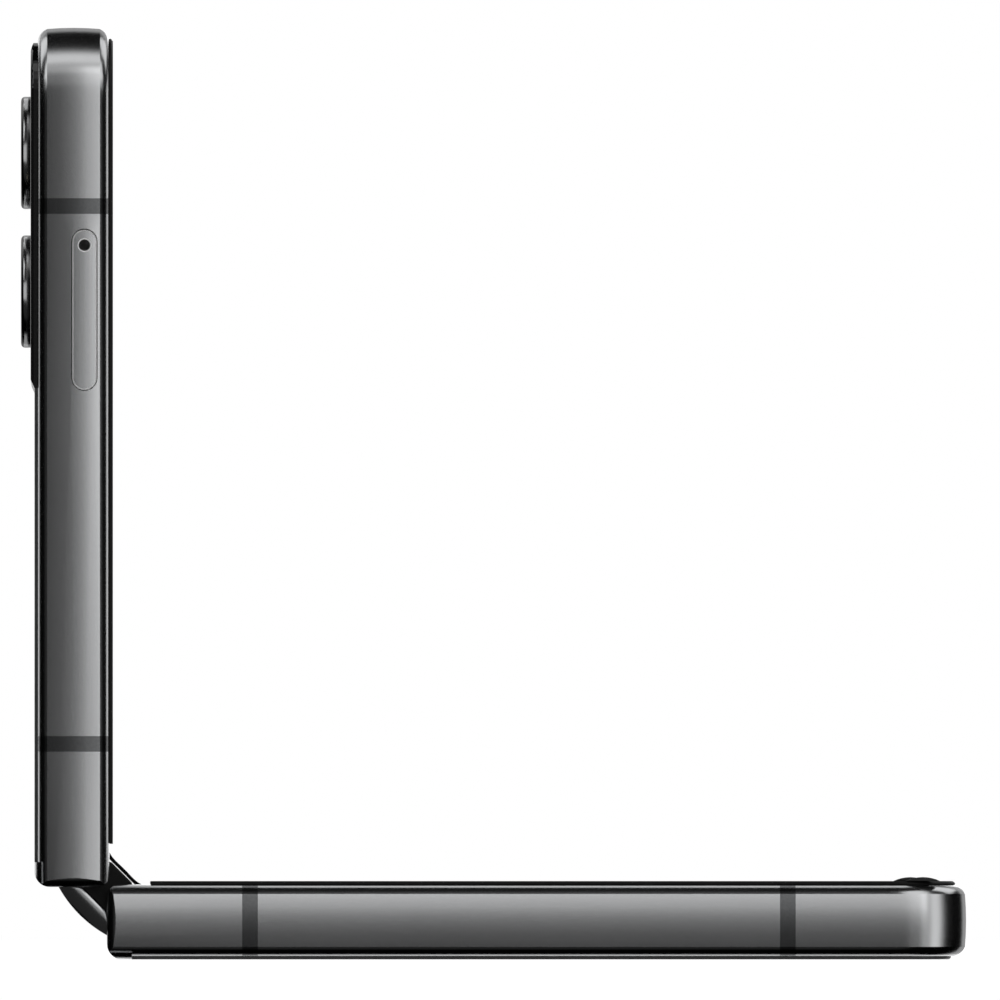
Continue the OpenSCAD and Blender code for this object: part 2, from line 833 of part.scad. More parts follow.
window_start = half_len - window_len;
window_end_in = 2.6;
lens_side = half_width / 2 - lens_from_side;
lens_places = [half_len - lens_in, half_len - lens_in - lens_pitch];
window_outer = -half_thick - window_proud;
board_roof = -4.4;
ring_seat = ring_d / 2 - 0.4;
ring_bore = 3.9;
selfie_at = [half_len - 6.3, 0];
selfie_r = 1.7;
slit_len = 11;
slit_in = 1.78;
volume_at = half_len - 28.7;
power_at = half_len - 47.2;
key_down = 3.2;
tray_at = half_len - tray_in;
drawer_thick = 1;
eject_in = 1.5;
function drawer_span(grow) = [
  tray_at - tray_len / 2 + 0.9 - grow, tray_at + tray_len / 2 - eject_in - eject_d / 2 - 0.3 + grow
];

module upper_frame() {
  color(metal) upper_place() difference() {
    frame_shell(wall);
    tray_opening(trim_gap);
    key_opening(volume_at, volume_len);
    key_opening(power_at, power_len);
    translate([half_len - slit_in - 0.18, -slit_len / 2, web_bottom - 1]) cube([0.36, slit_len, 3]);
    translate([selfie_at[0], selfie_at[1], web_bottom - 1]) cylinder(h = 3, r = selfie_r + 0.1);
    translate([half_len - wall - 1, -14, -usb_down]) rotate([0, 90, 0]) cylinder(h = 5, r = 0.5);
  }
}

module tray_opening(gap) {
  translate([tray_at, -half_width / 2 + wall + 0.5, -tray_down]) rotate([90, 0, 0])
    linear_extrude(wall + 2)
      round_rect([tray_len + 2 * gap, tray_face + 2 * gap], tray_face / 2 + gap - 0.01);
}

module key_opening(u, len) {
  translate([u, half_width / 2 + 1, -key_down]) rotate([90, 0, 0]) linear_extrude(wall + 2)
    round_rect([len + 2 * trim_gap, key_wid + 2 * trim_gap], key_wid / 2 + trim_gap - 0.01);
}

module upper_antenna_bands() {
  color(band_grey) upper_place() bands();
}

module upper_end_trim() {
  color(polished) upper_place() end_trim();
}

module upper_back_glass() {
  color(graphite_glass) upper_place()
    panel(fold_gap + lip_len, window_start, glass_thick, 0, back_proud);
}

// Glossy window over the cameras and the cover display, with a bevelled lower edge
module cover_window() {
  bevel = 0.85;
  color(gloss_black) upper_place() difference() {
    panel(window_start, half_len, glass_thick + window_proud, window_proud, back_proud);
    along_y(-half_width, 2 * half_width) polygon([
      [window_start - 1, window_outer - 1], [window_start + bevel, window_outer - 1],
      [window_start + bevel, window_outer], [window_start, window_outer + window_proud],
      [window_start - 1, window_outer + window_proud]
    ]);
    along_y(-half_width, 2 * half_width) translate([half_len - window_end_in, window_outer + window_end_r])
      difference() {
        translate([0, -window_end_r - 1]) square([window_end_in + 1, window_end_r + 1]);
        circle(window_end_r);
      }
    for (u = lens_places) translate([u, lens_side, window_outer - 1]) cylinder(h = 4, r = ring_seat);
    translate([flash_at[0], flash_at[1], window_outer - 1]) cylinder(h = 4, r = 1.55);
  }
}

flash_at = [half_len - lens_in - lens_pitch / 2, lens_side - 8.6];

module cover_display() {
  color(gloss_black) upper_place()
    translate([
      half_len - 6 - cover_display_wid / 2, lens_side - 12.2 - cover_display_len / 2, glass_top + 0.03
    ])
      linear_extrude(0.4) round_rect([cover_display_wid, cover_display_len], 1.5);
}

module lens_ring(i) {
  lip = 0.25;
  outer = window_outer - ring_proud;
  color(polished) upper_place() translate([lens_places[i], lens_side, 0]) rotate_extrude()
    difference() {
      union() {
        translate([ring_bore, outer]) square([ring_seat - 0.1 - ring_bore, ring_proud + glass_thick]);
        translate([ring_bore, outer]) square([ring_d / 2 - ring_bore, ring_proud - eps]);
      }
      polygon([
        [ring_d / 2 + 1, outer - 1], [ring_d / 2 - lip, outer - 1], [ring_d / 2 - lip, outer],
        [ring_d / 2 - 0.07, outer + 0.1], [ring_d / 2, outer + lip], [ring_d / 2 + 1, outer + lip]
      ]);
    }
}

module lens_ring_upper() {
  lens_ring(0);
}

module lens_ring_lower() {
  lens_ring(1);
}

module lens_glass(i) {
  color(gloss_black) upper_place()
    translate([lens_places[i], lens_side, window_outer - ring_proud + 0.12])
      cylinder(h = 0.6, r = ring_bore - 0.04);
}

module lens_glass_upper() {
  lens_glass(0);
}

module lens_glass_lower() {
  lens_glass(1);
}

module camera_module(i) {
  color(matte_black) upper_place() translate([lens_places[i], lens_side, 0]) {
    translate([-4.8, -4.8, glass_top + 0.1]) cube([9.6, 9.6, -glass_top + web_bottom - 0.2]);
    translate([0, 0, window_outer - 0.1]) cylinder(h = 2, r = 3.4);
  }
}

module camera_module_upper() {
  camera_module(0);
}

module camera_module_lower() {
  camera_module(1);
}

module flash_lens() {
  color("white") upper_place() translate([flash_at[0], flash_at[1], window_outer + 0.05])
    cylinder(h = 1, r = 1.5);
}

module upper_bezel() {
  color(matte_black) upper_place() difference() {
    bezel();
    translate([half_len - slit_in - 0.18, -slit_len / 2, -1]) cube([0.36, slit_len, 3]);
  }
}

module display_upper() {
  color(gloss_black) upper_place() difference() {
    display_sheet();
    translate([selfie_at[0], selfie_at[1], -2]) cylinder(h = 4, r = selfie_r + 0.1);
  }
}

module upper_display_plate() {
  color(steel) upper_place() difference() {
    display_plate();
    translate([selfie_at[0], selfie_at[1], -2]) cylinder(h = 4, r = selfie_r + 0.1);
  }
}

module upper_swing_arms() {
  color(steel) upper_place() swing_arms(-1, upper_tooth);
}

module upper_battery() {
  color(cell_grey) upper_place() battery(half_len - upper_bay_len - 1.5);
}

// Main board with its chips; a narrow arm of it reaches past the cameras
module main_board() {
  start = half_len - upper_bay_len;
  roof = board_roof;
  base = roof - 0.8;
  side = room_side - board_margin;
  color(board_green) upper_place() difference() {
    union() {
      block([start, half_len - board_inset - 1.9], [-side, lens_side - 10.2], [base, roof]);
      block([start, start + 3.5], [0, side], [base, roof]);
      for (y = [-12, 1]) block([start + 4.5, start + 15.5], [y, y + 10], [roof - eps, roof + 1.1]);
    }
    translate([half_len - 3, -room_side + 1.35, base - 1]) cylinder(h = 4, r = 5);
  }
}

module earpiece_speaker() {
  color(matte_black) upper_place()
    block([half_len - 4.3, half_len - wall - 0.05], [-8, 8], [board_roof + 0.2, room_roof]);
}

module earpiece_mesh() {
  color(matte_black) upper_place()
    block([half_len - slit_in - 0.14, half_len - slit_in + 0.14], [-slit_len / 2 + 0.1, slit_len / 2 - 0.1],
      [web_top + 0.05, bezel_proud - 0.2]);
}

module selfie_camera() {
  color(gloss_black) upper_place() translate([selfie_at[0], selfie_at[1], 0]) {
    translate([0, 0, -3.2]) cylinder(h = 3.1, r = selfie_r);
    translate([-2.6, -2.6, board_roof + 0.1]) cube([4.3, 5.2, 2.4]);
  }
}

// Card reader: a thin metal shell open on the tray's side
module sim_reader() {
  inner_wid = tray_len - 1.4;
  roof = 0.25;
  deep = drawer_len + 1;
  side = -half_width / 2 + wall;
  color(steel) upper_place() difference() {
    block([tray_at - inner_wid / 2 - 0.5, tray_at + inner_wid / 2 + 0.5], [side + 0.6, side + deep],
      [-tray_down - drawer_thick / 2 - 0.25 - roof, -tray_down + drawer_thick / 2 + 0.12]);
    block([tray_at - inner_wid / 2 - 0.15, tray_at + inner_wid / 2 + 0.15], [side - 1, side + deep - 0.4],
      [-tray_down - drawer_thick / 2 - 0.15, 0]);
  }
}

module upper_screws() {
  color(steel) upper_place() arm_screw_set(-1);
}

// ---------- tray and keys ----------

module sim_tray() {
  face_thick = 1.2;
  out = half_width / 2 - 0.02;
  tip = -out + wall + drawer_len;
  rail = 1;
  bed = 0.25;
  color(metal) upper_place() difference() {
    union() {
      translate([tray_at, -out + face_thick, -tray_down]) rotate([90, 0, 0])
        linear_extrude(face_thick) round_rect([tray_len, tray_face], tray_face / 2 - 0.01);
      block(drawer_span(0), [-out + face_thick - eps, tip],
        [-tray_down - drawer_thick / 2, -tray_down + drawer_thick / 2]);
    }
    // Bed of the card and the window below it
    block(drawer_span(-rail), [-out + wall + rail + 0.6, tip - rail], [-tray_down - bed, 0]);
    block(drawer_span(-2 * rail), [-out + wall + 2 * rail + 0.6, tip - 2 * rail],
      [-tray_down - 2 * drawer_thick, 0]);
    // Eject hole, beside the drawer
    translate([tray_at + tray_len / 2 - eject_in, -out + face_thick + 1, -tray_down])
      rotate([90, 0, 0]) cylinder(h = face_thick + 2, r = eject_d / 2);
  }
}

module sim_tray_seal() {
  squeeze = 0.3;
  deep = 0.35;
  span = drawer_span(squeeze);
  y0 = -half_width / 2 + 0.02 + 1.2 + 0.12;
  high = drawer_thick + 2 * squeeze;
  color(matte_black) upper_place() difference() {
    translate([(span[0] + span[1]) / 2, y0 + deep, -tray_down]) rotate([90, 0, 0])
      linear_extrude(deep) round_rect([span[1] - span[0], high], squeeze);
    block(drawer_span(0.02), [-half_width, 0],
      [-tray_down - drawer_thick / 2 - 0.02, -tray_down + drawer_thick / 2 + 0.02]);
  }
}

module key(u, len) {
  translate([u, half_width / 2 + key_proud, -key_down]) rotate([90, 0, 0])
    linear_extrude(key_proud + 0.9) round_rect([len, key_wid], key_wid / 2 - 0.01);
}

module volume_key() {
  color(metal) upper_place() key(volume_at, volume_len);
}

module power_key() {
  color(metal) upper_place() key(power_at, power_len);
}

module key_switches() {
  places = [volume_at - volume_len / 3, volume_at + volume_len / 3, power_at];
  color(matte_black) upper_place() for (u = places) {
    translate([u, half_width / 2 - 2.1, -key_down]) cube([4, 0.7, 1.6], center = true);
  }
}

lower_frame();
lower_antenna_bands();
lower_end_trim();
lower_back_glass();
lower_bezel();
lower_bumpers();
display_lower();
lower_display_plate();
lower_swing_arms();
lower_battery();
charge_board();
usb_socket();
usb_tongue();
speaker_module();
speaker_mesh();
haptic_motor();
wireless_coil();
lower_screws();
spine_cover();
spine_end_caps();
hinge_brackets();
fold_caps();
gear_pins();
display_fold();
sync_gear_1();
sync_gear_2();
sync_gear_3();
sync_gear_4();
upper_frame();
upper_antenna_bands();
upper_end_trim();
upper_back_glass();
cover_window();
cover_display();
lens_ring_upper();
lens_ring_lower();
lens_glass_upper();
lens_glass_lower();
camera_module_upper();
camera_module_lower();
flash_lens();
upper_bezel();
display_upper();
upper_display_plate();
upper_swing_arms();
upper_battery();
main_board();
earpiece_speaker();
earpiece_mesh();
selfie_camera();
sim_reader();
upper_screws();
sim_tray();
sim_tray_seal();
volume_key();
power_key();
key_switches();
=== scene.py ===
# %% [markdown]
# # A folding phone, dressed in Blender
# The phone's construction arrives as finished solids: frames, glass, hinge, gears, keys and tray.
# This lesson gives every one of them a finish, adds the small things that a maker would fit by hand,
# lets the folding screen bend, and lights it all in a plain studio.

# %% Load the construction
import json
import math

import bmesh
import bpy
from mathutils import Matrix, Vector
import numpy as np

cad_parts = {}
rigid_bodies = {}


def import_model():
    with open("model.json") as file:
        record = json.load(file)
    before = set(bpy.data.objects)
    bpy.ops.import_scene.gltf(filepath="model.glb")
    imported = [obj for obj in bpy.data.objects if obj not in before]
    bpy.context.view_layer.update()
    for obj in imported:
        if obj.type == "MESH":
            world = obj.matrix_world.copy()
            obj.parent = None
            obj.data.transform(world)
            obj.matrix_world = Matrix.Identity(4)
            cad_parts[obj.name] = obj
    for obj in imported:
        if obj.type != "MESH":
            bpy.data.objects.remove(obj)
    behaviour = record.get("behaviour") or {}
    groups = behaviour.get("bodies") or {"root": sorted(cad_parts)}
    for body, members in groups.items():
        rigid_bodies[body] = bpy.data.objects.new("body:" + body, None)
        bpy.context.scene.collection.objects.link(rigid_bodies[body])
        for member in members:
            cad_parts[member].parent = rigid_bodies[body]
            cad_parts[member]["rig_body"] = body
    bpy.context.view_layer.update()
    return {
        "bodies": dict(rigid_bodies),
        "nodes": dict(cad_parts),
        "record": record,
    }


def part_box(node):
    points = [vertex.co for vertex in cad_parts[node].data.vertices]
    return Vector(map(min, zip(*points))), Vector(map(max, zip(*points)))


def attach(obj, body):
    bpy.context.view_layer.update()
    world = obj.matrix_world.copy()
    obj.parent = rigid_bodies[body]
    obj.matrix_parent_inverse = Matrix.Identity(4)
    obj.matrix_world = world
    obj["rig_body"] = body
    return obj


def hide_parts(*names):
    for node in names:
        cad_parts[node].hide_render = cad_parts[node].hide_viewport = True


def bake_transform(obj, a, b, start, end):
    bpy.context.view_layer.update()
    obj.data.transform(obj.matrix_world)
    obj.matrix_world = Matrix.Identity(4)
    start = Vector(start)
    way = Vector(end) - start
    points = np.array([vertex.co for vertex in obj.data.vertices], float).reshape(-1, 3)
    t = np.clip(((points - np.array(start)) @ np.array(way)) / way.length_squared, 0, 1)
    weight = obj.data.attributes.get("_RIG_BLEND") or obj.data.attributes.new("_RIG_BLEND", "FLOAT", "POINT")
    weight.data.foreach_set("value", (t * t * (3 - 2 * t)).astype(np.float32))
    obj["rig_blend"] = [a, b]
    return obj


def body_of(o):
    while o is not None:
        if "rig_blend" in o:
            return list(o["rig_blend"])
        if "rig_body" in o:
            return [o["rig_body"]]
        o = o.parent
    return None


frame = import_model()
nodes = frame["nodes"]
MM = 0.001

# %% [markdown]
# A clamshell phone has two halves that are alike, so it pays to think in the coordinates of one half:
# u runs from the fold line to the free end, y goes across, and w is the height above the inner rim.
# The helpers below turn such a place into a point of the standing phone. They read the two
# frames' boxes, so nothing has to be measured twice.

# %% Places on the two halves
lower_low, lower_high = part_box("lower_frame")
upper_low, upper_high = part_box("upper_frame")
FOLD_GAP = 0.2 * MM
LOWER_FOLD_X = lower_low.x - FOLD_GAP
LOWER_RIM_Z = lower_high.z
UPPER_FOLD_Z = upper_low.z - FOLD_GAP
UPPER_RIM_X = upper_high.x
HALF_LENGTH = lower_high.x - LOWER_FOLD_X
HALF_WIDTH = lower_high.y - lower_low.y


def on_lower(u, y, w):
    return Vector((LOWER_FOLD_X + u, y, LOWER_RIM_Z + w))


def on_upper(u, y, w):
    return Vector((UPPER_RIM_X + w, y, UPPER_FOLD_Z + u))


print("half length mm:", round(HALF_LENGTH / MM, 2), "width mm:", round(HALF_WIDTH / MM, 2))


# %% [markdown]
# ## Finishes
# A believable surface is never one flat colour. Satin metal has a very fine grain that breaks the
# highlight, glass has faint smears in its gloss, and moulded plastic has a soft pebble. Each finish
# here starts from one shader, and a little noise in object coordinates drives its roughness and its
# bump, so the pattern stays fixed to the piece when it moves.

# %% Helpers for building a finish
def new_finish(name, colour, metallic, roughness, **sockets):
    finish = bpy.data.materials.new(name)
    finish.use_nodes = True
    shader = finish.node_tree.nodes["Principled BSDF"]
    shader.inputs["Base Color"].default_value = (*colour, 1)
    shader.inputs["Metallic"].default_value = metallic
    shader.inputs["Roughness"].default_value = roughness
    for socket, value in sockets.items():
        shader.inputs[socket.replace("_", " ")].default_value = value
    return finish


def object_pattern(finish, kind, scale, stretch=(1, 1, 1), **settings):
    tree = finish.node_tree
    place = tree.nodes.new("ShaderNodeTexCoord")
    mapping = tree.nodes.new("ShaderNodeMapping")
    mapping.inputs["Scale"].default_value = stretch
    pattern = tree.nodes.new(kind)
    pattern.inputs["Scale"].default_value = scale
    for socket, value in settings.items():
        pattern.inputs[socket].default_value = value
    tree.links.new(place.outputs["Object"], mapping.inputs["Vector"])
    tree.links.new(mapping.outputs["Vector"], pattern.inputs["Vector"])
    return pattern


def vary_roughness(finish, pattern, low, high, output="Fac"):
    tree = finish.node_tree
    spread = tree.nodes.new("ShaderNodeMapRange")
    spread.inputs["To Min"].default_value = low
    spread.inputs["To Max"].default_value = high
    tree.links.new(pattern.outputs[output], spread.inputs["Value"])
    tree.links.new(spread.outputs["Result"], tree.nodes["Principled BSDF"].inputs["Roughness"])


def vary_colour(finish, pattern, dark, light, output="Fac", edges=(0.3, 0.7)):
    tree = finish.node_tree
    ramp = tree.nodes.new("ShaderNodeValToRGB")
    ramp.color_ramp.elements[0].position = edges[0]
    ramp.color_ramp.elements[1].position = edges[1]
    ramp.color_ramp.elements[0].color = (*dark, 1)
    ramp.color_ramp.elements[1].color = (*light, 1)
    tree.links.new(pattern.outputs[output], ramp.inputs["Fac"])
    tree.links.new(ramp.outputs["Color"], tree.nodes["Principled BSDF"].inputs["Base Color"])


def roughen(finish, pattern, height, output="Fac"):
    tree = finish.node_tree
    bump = tree.nodes.new("ShaderNodeBump")
    bump.inputs["Strength"].default_value = 1
    bump.inputs["Distance"].default_value = height
    tree.links.new(pattern.outputs[output], bump.inputs["Height"])
    tree.links.new(bump.outputs["Normal"], tree.nodes["Principled BSDF"].inputs["Normal"])


def grey(value, cool=0.0):
    return (value * (1 - cool), value, value * (1 + cool))


print("finish helpers ready")

# %% [markdown]
# The rails are blasted and anodised aluminium: a metal whose grain is so fine that it only softens
# the reflection. Two noises are enough, one tiny for the blasting and one slow for handling.

# %% Satin rails, keys and tray
def satin_metal(name, colour, roughness):
    finish = new_finish(name, colour, 1.0, roughness)
    grain = object_pattern(finish, "ShaderNodeTexNoise", 9000, Detail=2.0)
    handling = object_pattern(finish, "ShaderNodeTexNoise", 60, Detail=3.0)
    roughen(finish, grain, 0.6e-6)
    vary_roughness(finish, handling, roughness - 0.015, roughness + 0.015)
    return finish


satin_graphite = satin_metal("satin_graphite", grey(0.5, 0.012), 0.22)
spine_graphite = satin_metal("spine_graphite", grey(0.45, 0.012), 0.24)
polished_trim = satin_metal("polished_trim", grey(0.5, 0.01), 0.2)
machined_steel = satin_metal("machined_steel", grey(0.55), 0.34)
print("metals:", satin_graphite.name, spine_graphite.name, polished_trim.name, machined_steel.name)

# %% [markdown]
# Glass over a dark print looks like a black plastic with a hard clear skin. The back is etched, so
# it is softer than the cover window, which stays a mirror.

# %% Glass and screen
def dark_glass(name, value, roughness, smear):
    finish = new_finish(name, grey(value, 0.02), 0.0, roughness, IOR=1.5)
    smears = object_pattern(finish, "ShaderNodeTexNoise", 45, Detail=4.0)
    vary_roughness(finish, smears, roughness, roughness + smear)
    vary_colour(finish, smears, grey(value * 0.94, 0.02), grey(value * 1.06, 0.02))
    return finish


etched_back = dark_glass("etched_back", 0.035, 0.32, 0.03)
window_black = dark_glass("window_black", 0.004, 0.05, 0.02)
screen_black = dark_glass("screen_black", 0.005, 0.07, 0.02)
print("glass:", etched_back.name, window_black.name, screen_black.name)

# %% [markdown]
# The remaining finishes are mouldings, rubber and the hidden electronics. They follow the same
# recipe with their own scale of pattern.

# %% Plastics, rubber and electronics
def moulded(name, colour, roughness, pebble_scale, pebble_height):
    finish = new_finish(name, colour, 0.0, roughness, IOR=1.46)
    pebble = object_pattern(finish, "ShaderNodeTexNoise", pebble_scale, Detail=2.0)
    roughen(finish, pebble, pebble_height)
    dark = tuple(0.92 * c for c in colour)
    light = tuple(1.08 * c for c in colour)
    vary_colour(finish, pebble, dark, light)
    return finish


antenna_resin = moulded("antenna_resin", grey(0.15, 0.02), 0.24, 5000, 1e-6)
antenna_resin.node_tree.nodes["Principled BSDF"].inputs["Metallic"].default_value = 1.0
bezel_black = moulded("bezel_black", grey(0.005), 0.5, 4000, 1e-6)
bezel_black.node_tree.nodes["Principled BSDF"].inputs["Specular IOR Level"].default_value = 0.2
soft_rubber = moulded("soft_rubber", grey(0.01), 0.7, 3000, 2e-6)
module_black = moulded("module_black", grey(0.02), 0.5, 3000, 2e-6)
battery_film = moulded("battery_film", grey(0.05), 0.4, 800, 3e-6)
board_mask = moulded("board_mask", (0.01, 0.06, 0.035), 0.35, 1500, 2e-6)
coil_copper = satin_metal("coil_copper", (0.72, 0.36, 0.18), 0.35)
flash_cream = moulded("flash_cream", (0.75, 0.68, 0.5), 0.3, 2500, 4e-6)
print("mouldings ready")

# %% Give every solid its finish
slot_finish = {
    "satin_metal": satin_graphite,
    "antenna_plastic": antenna_resin,
    "polished_metal": polished_trim,
    "spine_metal": spine_graphite,
    "back_glass": etched_back,
    "window_glass": window_black,
    "bezel_plastic": bezel_black,
    "black_rubber": soft_rubber,
    "display_panel": screen_black,
    "steel": machined_steel,
    "battery_wrap": battery_film,
    "circuit_board": board_mask,
    "module_plastic": module_black,
    "copper": coil_copper,
    "flash_diffuser": flash_cream,
}
for part in frame["record"]["subparts"]:
    solid = nodes[part["node"]]
    solid.data.materials.clear()
    solid.data.materials.append(slot_finish[part["material_slot"]])

# %% [markdown]
# ## Softened edges
# No real edge is sharp. Aluminium trims are tumbled, keys and the card tray get a fine chamfer from
# the mill, and moulded caps leave their tool with a small radius. Those thin rounds catch the light
# as bright lines, so each such solid is copied, cleaned and given a small bevel. On the keys and the
# card tray the milled chamfer also gets a lighter, less metallic finish than the metal round it: a
# real milled edge with a painted highlight line.

# %% Soften the edges of trims, keys and caps
CROWN_RADIUS = 30 * MM
CROWN_CUTS = 12
TRAY_FACE_SKIN = 0.15 * MM
MERGE_DISTANCE = 2e-6


def select_only(piece):
    bpy.ops.object.select_all(action="DESELECT")
    piece.select_set(True)
    bpy.context.view_layer.objects.active = piece


def is_closed(piece):
    shape = bmesh.new()
    shape.from_mesh(piece.data)
    closed = all(edge.is_manifold for edge in shape.edges)
    shape.free()
    return closed


def follow_crown(piece):
    """Give the outer face of the card tray the same slight curve across as the rail round it."""
    low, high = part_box("sim_tray")
    bpy.ops.object.mode_set(mode="EDIT")
    for cut in range(1, CROWN_CUTS):
        cut_x = low.x + (high.x - low.x) * cut / CROWN_CUTS
        bpy.ops.mesh.select_all(action="SELECT")
        bpy.ops.mesh.bisect(plane_co=(cut_x, 0, 0), plane_no=(1, 0, 0))
    bpy.ops.object.mode_set(mode="OBJECT")
    rail_middle = (upper_low.x + upper_high.x) / 2
    for vertex in piece.data.vertices:
        if vertex.co.y < low.y + TRAY_FACE_SKIN:
            away = vertex.co.x - rail_middle
            vertex.co.y += CROWN_RADIUS - math.sqrt(CROWN_RADIUS ** 2 - away ** 2)


def softened(node, width, segments, smooth, milled_with_painted_highlight=False):
    solid = nodes[node]
    piece = bpy.data.objects.new(f"{node}_softened", solid.data.copy())
    bpy.context.scene.collection.objects.link(piece)
    select_only(piece)
    bpy.ops.object.mode_set(mode="EDIT")
    bpy.ops.mesh.select_all(action="SELECT")
    bpy.ops.mesh.remove_doubles(threshold=MERGE_DISTANCE)
    bpy.ops.mesh.dissolve_limited(angle_limit=math.radians(0.1))
    bpy.ops.object.mode_set(mode="OBJECT")
    bevel = piece.modifiers.new("round", "BEVEL")
    # The chamfer faces take the lighter finish in slot 1: a painted highlight line along the milled edge.
    if milled_with_painted_highlight:
        piece.data.materials.append(milled_edge_painted_highlight)
        bevel.material = 1
        bevel.use_clamp_overlap = False
    bevel.width = width * MM
    bevel.segments = segments
    bevel.limit_method = "ANGLE"
    bevel.angle_limit = math.radians(40)
    bpy.ops.object.modifier_apply(modifier=bevel.name)
    if node == "sim_tray":
        follow_crown(piece)
    bpy.ops.object.shade_smooth_by_angle(angle=math.radians(smooth))
    body = next(name for name, row in frame["record"]["behaviour"]["bodies"].items() if node in row)
    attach(piece, body)
    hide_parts(node)
    print(piece.name, len(piece.data.polygons), "faces, closed:", is_closed(piece))


# Finish of the milled chamfers: a real milled edge, made lighter and partly diffuse so that it reads as a light
# line, a painted highlight.
milled_edge_painted_highlight = satin_metal("milled_edge_painted_highlight", grey(0.8), 0.5)
milled_edge_painted_highlight.node_tree.nodes["Principled BSDF"].inputs["Metallic"].default_value = 0.35
SOFT_EDGES = [
    ("spine_end_caps", 0.22, 3, 60), ("fold_caps", 0.12, 2, 20), ("lower_end_trim", 0.14, 2, 24),
    ("upper_end_trim", 0.14, 2, 24), ("sim_tray", 0.11, 1, 20, True), ("volume_key", 0.1, 1, 20, True),
    ("power_key", 0.1, 1, 20, True), ("lower_bumpers", 0.14, 3, 34), ("lower_bezel", 0.15, 3, 24),
    ("upper_bezel", 0.15, 3, 24), ("usb_socket", 0.06, 2, 20), ("flash_lens", 0.12, 2, 20),
]
for row in SOFT_EDGES:
    softened(*row)

# %% [markdown]
# ## The folding stretch of the screen
# The screen bends in two symmetric strips that meet on the spine's centre line. On the real phone
# this stretch is a laminate of thin polymer layers, laid flat when the phone is open and hung in a
# soft loop when it closes. Each strip is a closed slab, and its rest shape is found from the open
# one: for every cross-section the open place is turned back by the share of the hinge that carries
# it. Flat open, rounded half way and looped closed then all come from the same mesh.

# %% Two bending strips
FOLD_REACH = 6 * MM
SKIN_TOP, SKIN_BOTTOM = 0.02 * MM, 0.35 * MM
CREASE_DEPTH = 0.2 * MM
CREASE_REACH = 0.75 * FOLD_REACH
STRIP_HALF_WIDTH = 33.25 * MM
SETTLING_ROUNDS = 80
BLEND_END_SHARE = 0.96
fold_joint = next(j for j in frame["record"]["behaviour"]["joints"] if j["name"] == "lower_fold")
AXIS_X, AXIS_Z = fold_joint["pos_m"][0], fold_joint["pos_m"][2]
QUARTER = math.radians(-45)


def ease(t):
    t = min(1, max(0, t))
    return t * t * (3 - 2 * t)


def turned(x, z, angle):
    x, z = x - AXIS_X, z - AXIS_Z
    return Vector((AXIS_X + x * math.cos(angle) + z * math.sin(angle), 0,
                   AXIS_Z - x * math.sin(angle) + z * math.cos(angle)))


blend_start = on_lower(FOLD_REACH, 0, -SKIN_TOP)
fold_middle = turned(LOWER_FOLD_X, LOWER_RIM_Z - SKIN_TOP - CREASE_DEPTH, -QUARTER)
blend_end = blend_start.lerp(fold_middle, BLEND_END_SHARE)


def rest_place(u, depth):
    crease = CREASE_DEPTH * (1 - ease(u / CREASE_REACH)) ** 2
    x, z = LOWER_FOLD_X + u - AXIS_X, LOWER_RIM_Z - depth - crease - AXIS_Z
    share = 1 - ease(u / CREASE_REACH)
    for _ in range(SETTLING_ROUNDS):
        along, across = 1 - share + share * math.cos(QUARTER), share * math.sin(QUARTER)
        size = along * along + across * across
        place = Vector((AXIS_X + (along * x - across * z) / size, 0,
                        AXIS_Z + (across * x + along * z) / size))
        line = blend_end - blend_start
        share = (share + ease((place - blend_start).dot(line) / line.length_squared)) / 2
    return place


def other_side(place):
    return Vector((UPPER_RIM_X + place.z - LOWER_RIM_Z, place.y, UPPER_FOLD_Z + place.x - LOWER_FOLD_X))


def bending_strip(name, upper):
    bpy.ops.object.select_all(action="DESELECT")
    bpy.ops.mesh.primitive_grid_add(x_subdivisions=48, y_subdivisions=16, size=1, location=(0, 0, 0))
    piece = bpy.context.object
    piece.name = name
    bpy.ops.object.mode_set(mode="EDIT")
    bpy.ops.mesh.select_all(action="SELECT")
    bpy.ops.mesh.extrude_region_move(TRANSFORM_OT_translate={"value": (0, 0, -1)})
    bpy.ops.object.mode_set(mode="OBJECT")
    shape = bmesh.new()
    shape.from_mesh(piece.data)
    for vertex in shape.verts:
        u = (0.5 + vertex.co.x) * FOLD_REACH
        depth = SKIN_TOP - (SKIN_BOTTOM - SKIN_TOP) * vertex.co.z
        place = rest_place(u, depth)
        if upper:
            place = other_side(place)
        vertex.co = (place.x, vertex.co.y * 2 * STRIP_HALF_WIDTH, place.z)
    bmesh.ops.recalc_face_normals(shape, faces=shape.faces)
    shape.to_mesh(piece.data)
    shape.free()
    piece.data.materials.append(screen_black)
    select_only(piece)
    bpy.ops.object.shade_smooth_by_angle(angle=math.radians(32))
    print(name, len(piece.data.polygons), "faces, closed:", is_closed(piece))
    return piece


lower_strip = bending_strip("display_fold_lower_strip", False)
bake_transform(lower_strip, "lower_half", "hinge_spine", start=blend_start, end=blend_end)
upper_strip = bending_strip("display_fold_upper_strip", True)
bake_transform(upper_strip, "hinge_spine", "upper_half", start=other_side(blend_end), end=other_side(blend_start))
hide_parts("display_fold")
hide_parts("display_fold")

# %% [markdown]
# ## Camera glasses
# Behind each ring sits a lens: a flat black rim, a stepped barrel of blackened rings that keeps
# stray light out, and the domed front element with its bluish coating. It is turned on a lathe, so
# it starts as a disc whose front face is stepped inwards ring by ring.

# %% Two stepped lenses
lens_coating = new_finish("lens_coating", (0.02, 0.018, 0.06), 0.0, 0.04, IOR=1.7, Coat_Weight=0.6)
coating_haze = object_pattern(lens_coating, "ShaderNodeTexNoise", 300, Detail=2.0)
vary_colour(lens_coating, coating_haze, (0.015, 0.02, 0.07), (0.04, 0.016, 0.06))
vary_roughness(lens_coating, coating_haze, 0.03, 0.06)
barrel_black = moulded("barrel_black", grey(0.012), 0.35, 6000, 1e-6)

